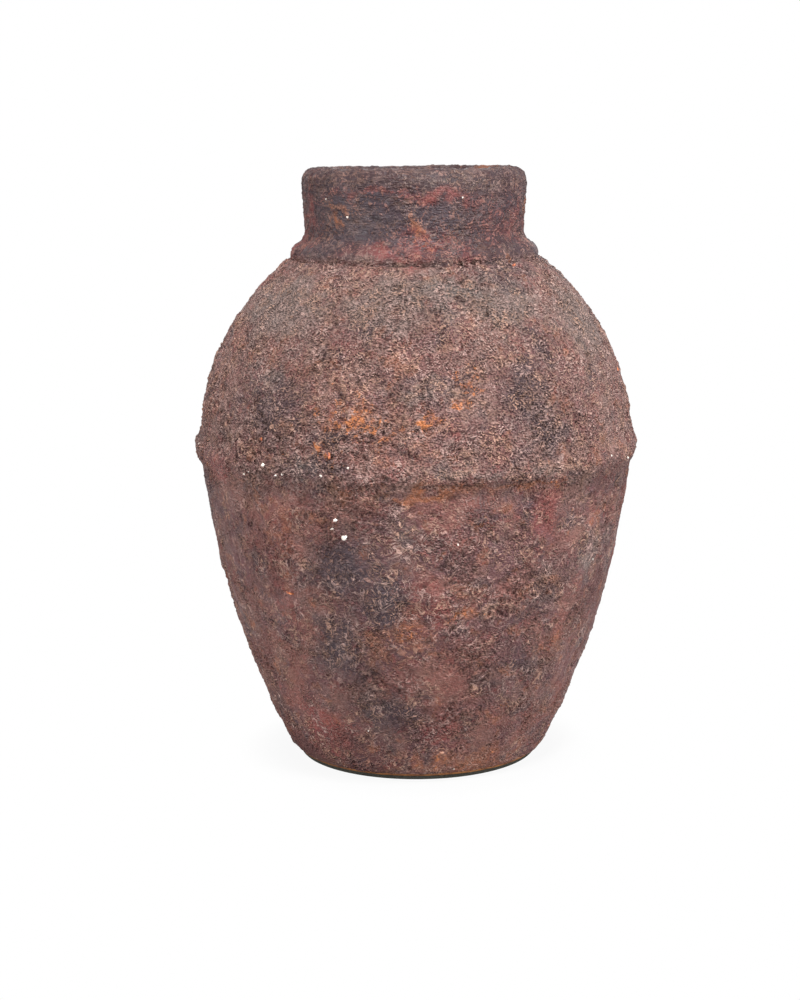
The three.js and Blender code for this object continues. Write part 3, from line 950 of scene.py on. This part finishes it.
def hidden_chips(seed, count, small, large):
    """More chips of a kind, scattered over the side that faces away."""
    draw = random.Random(seed)
    return [
        (
            draw.uniform(*HIDDEN_SIDE),
            draw.triangular(*HIDDEN_CHIP_HEIGHTS),
            draw.uniform(small, large),
            draw.uniform(small, large),
            draw.uniform(-90, 90),
        )
        for _ in range(count)
    ]


def on_crust(degrees, height):
    """The crust's face at an angle and a height in millimetres: a place, and the way it faces."""
    turn, z = math.radians(degrees), height * MM
    outline = body_radius if z < LEDGE else lambda level, lift: neck_radius(level) + lift
    slope = (outline(z + MM, CRUST) - outline(z - MM, CRUST)) / (2 * MM)
    radius = outline(z, CRUST)
    place = Vector((radius * math.sin(turn), -radius * math.cos(turn), z))
    facing = Vector((math.sin(turn), -math.cos(turn), -slope)).normalized()
    found = crust_relief(np.array([place]) / MM)
    return place + facing * float(found["swell"][0] + found["relief"][0]) * MM, facing


def chips(name, places, finish, seed):
    """Small angular chips, half sunk in the crust."""
    draw = random.Random(seed)
    bm = bmesh.new()
    for degrees, height, wide, tall, tilt in places:
        place, facing = on_crust(degrees, height)
        across = Vector((0, 0, 1)).cross(facing).normalized()
        stand = Matrix((across, facing.cross(across), facing)).transposed().to_4x4()
        size = Matrix.Diagonal((wide / 2 * MM, tall / 2 * MM, (wide + tall) / 5 * MM, 1))
        spin = Matrix.Rotation(math.radians(tilt), 4, "Z")
        matrix = Matrix.Translation(place) @ stand @ spin @ size
        made = bmesh.ops.create_icosphere(bm, subdivisions=2, radius=1, matrix=matrix)["verts"]
        for vert in made:
            vert.co = place + (vert.co - place) * draw.uniform(*CHIP_SHRINK)
    bmesh.ops.recalc_face_normals(bm, faces=bm.faces)
    piece(name, bm, finish, "crust")


# The jar


def crust(finish):
    """The crust in six rings that meet edge to edge."""
    low = FOOT + BARE_EDGE
    cuts = [low, FOOT_CUT, BELLY_CUT, BAND_LOW]
    for name, start, end in zip(("foot_crust", "belly_crust", "waist_crust"), cuts, cuts[1:]):
        outer = []
        for z in steps(start, end, 90):
            grown = min(1, (z - low) / EDGE_RUN) ** 0.5
            thickness = CRUST * (EDGE_THICKNESS + (1 - EDGE_THICKNESS) * grown)
            outer.append((body_radius(z, thickness), z))
        inner = [(lower_radius(z) + SLIP, z) for z in steps(start, end, 20)]
        relief = EDGE_RELIEF if start == low else 1.0
        crust_ring(name, outer, inner, BODY_TURNS, finish, "crust_lower", relief)
    cuts = [BAND_LOW, SHOULDER_CUT, LEDGE]
    for name, start, end in zip(("girth_crust", "shoulder_crust"), cuts, cuts[1:]):
        outer, inner = body_face(start, end, CRUST), body_face(start, end, 2 * SLIP)
        crust_ring(name, outer, inner, BODY_TURNS, finish, "crust_shoulder")
    crust_ring("neck_crust", neck_face(CRUST), neck_face(SLIP), NECK_TURNS, finish, "crust_neck")


def finger_ring(z):
    """How far the potter's fingers pressed the inside outwards at a height."""
    return 0.5 * MM * math.sin(2 * math.pi * z / (9 * MM)) * (0.7 + 0.3 * math.sin(z / (23 * MM)))


def thrown_inside(radius, low, high):
    """An inner face from high to low, with the finger rings of throwing on it."""
    count = max(2, round((high - low) / CLAY_STEP))
    return [(radius(z) + finger_ring(z), z) for z in reversed(steps(low, high, count))]


def thrown_clay(finish, edge_finish):
    """The fired sections, whose insides show through the mouth."""
    flange = FOOT + FLOOR_FLANGE
    seat = flange + SLIP
    tongue = GIRTH + TONGUE_HEIGHT
    plug = lower_inside(seat)
    slab = [(0, FOOT), (FOOT_RADIUS, FOOT), (lower_radius(flange), flange), (plug - SLIP, flange)]
    slab += [(r, FLOOR + finger_ring(r) * 0.6) for r in reversed(steps(0, plug - SLIP, 60))]
    piece("floor_clay", turned(slab, CLAY_TURNS), edge_finish, "clay", "floor_slab")

    lower = [(lower_radius(z), z) for z in steps(seat, GIRTH, 30)]
    lower += [(TONGUE_RADIUS, GIRTH), (TONGUE_RADIUS, tongue), (GIRTH_RADIUS - WALL, tongue)]
    lower += thrown_inside(lower_inside, FLOOR, GIRTH) + [(plug, FLOOR), (plug, seat)]
    piece("lower_clay", turned(lower, CLAY_TURNS), finish, "clay", "lower_wall")

    rabbet = TONGUE_RADIUS + SLIP
    shoulder = [(rabbet, GIRTH + SLIP)]
    shoulder += [(shoulder_radius(z), z) for z in steps(GIRTH + SLIP, LEDGE, 30)]
    shoulder += [(SHELF_BORE, LEDGE), (SHELF_BORE, SHELF_LOW)]
    shoulder += thrown_inside(shoulder_inside, tongue + SLIP, SHELF_LOW) + [(rabbet, tongue + SLIP)]
    piece("shoulder_clay", turned(shoulder, CLAY_TURNS), finish, "clay", "shoulder_wall")

    spigot = BORE + SPIGOT_THICKNESS
    lip_tongue = BORE + LIP_TONGUE_THICKNESS
    neck = [(BORE, SPIGOT), (spigot, SPIGOT), (spigot, LEDGE + SLIP)]
    neck += [(neck_radius(z), z) for z in steps(LEDGE + SLIP, LIP_SEAT, 20)]
    neck += [(lip_tongue, LIP_SEAT), (lip_tongue, LIP_SEAT + LIP_TONGUE_HEIGHT)]
    neck += thrown_inside(lambda z: BORE, SPIGOT + MM, LIP_SEAT + LIP_TONGUE_HEIGHT)
    piece("neck_clay", turned(neck, CLAY_TURNS), finish, "clay", "neck_wall")


def seam_coils(finish):
    """The coils smoothed into the seams on the inside."""
    low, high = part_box("floor_seam_coil")[0].z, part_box("floor_seam_coil")[1].z
    back = [(lower_inside(z) - SLIP, z) for z in steps(low, high, 6)]
    corner, tip = back[0][0], low + COIL_EDGE
    reach = corner - FLOOR_COIL_REACH
    face = curve((back[-1][0] - COIL_EDGE, high), (corner - COIL_EDGE, tip), (reach, tip))
    coil = [(reach, low)] + back + face
    piece("floor_coil", turned(coil, CLAY_TURNS), finish, "clay", "floor_seam_coil")

    low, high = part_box("girth_seam_coil")[0].z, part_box("girth_seam_coil")[1].z
    levels = steps(low, high, 24)
    inside = [(lower_inside(z) if z < GIRTH else shoulder_inside(z), z) for z in levels]
    swell = [
        COIL_EDGE + (GIRTH_COIL_DEPTH - COIL_EDGE) * math.sin(math.pi * t) for t in steps(0, 1, 24)
    ]
    face = [(radius - deep, z) for (radius, z), deep in zip(inside, swell)]
    coil = [(radius - SLIP, z) for radius, z in inside] + face[::-1]
    piece("girth_coil", turned(coil, CLAY_TURNS), finish, "clay", "girth_seam_coil")

    low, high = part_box("neck_seam_coil")[0].z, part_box("neck_seam_coil")[1].z
    edge, tip = SHELF_BORE + COIL_EDGE, high - COIL_EDGE
    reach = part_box("neck_seam_coil")[1].x
    face = curve((edge, low), (edge, tip), (reach, tip))
    coil = [(SHELF_BORE, low)] + face + [(reach, high), (SHELF_BORE, high)]
    piece("neck_coil", turned(coil, CLAY_TURNS), finish, "clay", "neck_seam_coil")


def foot_pad(finish):
    """The felt pad, with its edges a little rounded."""
    radius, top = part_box("felt_pad")[1].x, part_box("felt_pad")[1].z
    edge, soft = radius - PAD_ROUND, PAD_ROUND
    outline = [(0, 0), (edge, 0), (radius, soft), (radius, top - soft), (edge, top), (0, top)]
    piece("foot_pad", turned(outline, CLAY_TURNS), finish, "felt", "felt_pad")


# The studio


def camera():
    """The camera, at the place that the photograph was taken from."""
    lens = bpy.data.cameras.new("camera")
    lens.lens = CAMERA_LENS
    made = bpy.data.objects.new("camera", lens)
    turn = Matrix.Rotation(math.pi / 2 - CAMERA_PITCH, 4, "X") @ Matrix.Rotation(-CAMERA_ROLL, 4, "Z")
    made.matrix_world = Matrix.Translation(CAMERA_PLACE) @ turn
    bpy.context.scene.collection.objects.link(made)
    bpy.context.scene.camera = made


def lamp(name, place, size, watts):
    """A round soft lamp that faces the jar."""
    light = bpy.data.lights.new(name, "AREA")
    light.shape = "DISK"
    light.size = size
    light.energy = watts
    made = bpy.data.objects.new(name, light)
    made.location = place
    aim = LAMP_AIM - Vector(place)
    made.rotation_euler = aim.to_track_quat("-Z", "Y").to_euler()
    bpy.context.scene.collection.objects.link(made)


def white_floor():
    """A floor that keeps the jar's shadow and is white to the camera elsewhere."""
    bm = bmesh.new()
    bmesh.ops.create_grid(bm, x_segments=1, y_segments=1, size=FLOOR_REACH)
    mesh = bpy.data.meshes.new("floor")
    bm.to_mesh(mesh)
    bm.free()
    floor = bpy.data.objects.new("floor", mesh)
    bpy.context.scene.collection.objects.link(floor)
    f = Finish("white_sweep", 0.9, 0.0)
    f.put(f.shader.inputs["Base Color"], FLOOR_GREY)
    glow = f.add("ShaderNodeEmission", Strength=1.0)
    ray = f.add("ShaderNodeLightPath")
    reach = f.vector("LENGTH", f.place, (0, 0, 0), "Value")
    white = f.between(reach, *SHADOW_REACH, SHADOW_WHITE, 1.0)
    mixed = f.add("ShaderNodeMixShader")
    f.put(mixed.inputs[0], f.times(ray.outputs["Is Camera Ray"], white))
    f.put(mixed.inputs[1], f.shader.outputs[0])
    f.put(mixed.inputs[2], glow.outputs[0])
    f.put(f.tree.nodes["Material Output"].inputs["Surface"], mixed.outputs[0])
    mesh.materials.append(f.material)


def white_room():
    """A room that is white to the camera and in reflections, and gives little light."""
    world = bpy.data.worlds.new("white_room")
    bpy.context.scene.world = world
    world.use_nodes = True
    tree = world.node_tree
    backdrop = tree.nodes["Background"]
    backdrop.inputs["Color"].default_value = (1, 1, 1, 1)
    path = tree.nodes.new("ShaderNodeLightPath")
    shown = path.outputs["Is Camera Ray"]
    for kind in ("Is Glossy Ray", "Is Transmission Ray"):
        either = tree.nodes.new("ShaderNodeMath")
        either.operation = "MAXIMUM"
        tree.links.new(shown, either.inputs[0])
        tree.links.new(path.outputs[kind], either.inputs[1])
        shown = either.outputs[0]
    level = tree.nodes.new("ShaderNodeMapRange")
    level.inputs["To Min"].default_value = ROOM_LIGHT
    level.inputs["To Max"].default_value = 1.0
    tree.links.new(shown, level.inputs["Value"])
    tree.links.new(level.outputs["Result"], backdrop.inputs["Strength"])


def studio():
    """The white floor and room, and the lamps."""
    white_floor()
    white_room()
    for values in LAMPS:
        lamp(*values)
    bpy.context.scene.view_settings.view_transform = "Standard"


def jar():
    """All of the jar's pieces. Solids that still show are clay."""
    crust(crust_finish())
    chips("lime_chips", LIME_CHIPS + hidden_chips(34, 16, 1.6, 4.5), lime_finish(), 55)
    chips("rust_chips", RUST_CHIPS + hidden_chips(89, 8, 3, 8), rust_chip_finish(), 144)
    foot_pad(felt_finish())
    terracotta = terracotta_finish()
    thrown_clay(terracotta, bare_clay_finish())
    seam_coils(terracotta)
    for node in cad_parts.values():
        if not node.hide_render:
            node.data.materials.clear()
            node.data.materials.append(terracotta)


camera()
studio()
jar()
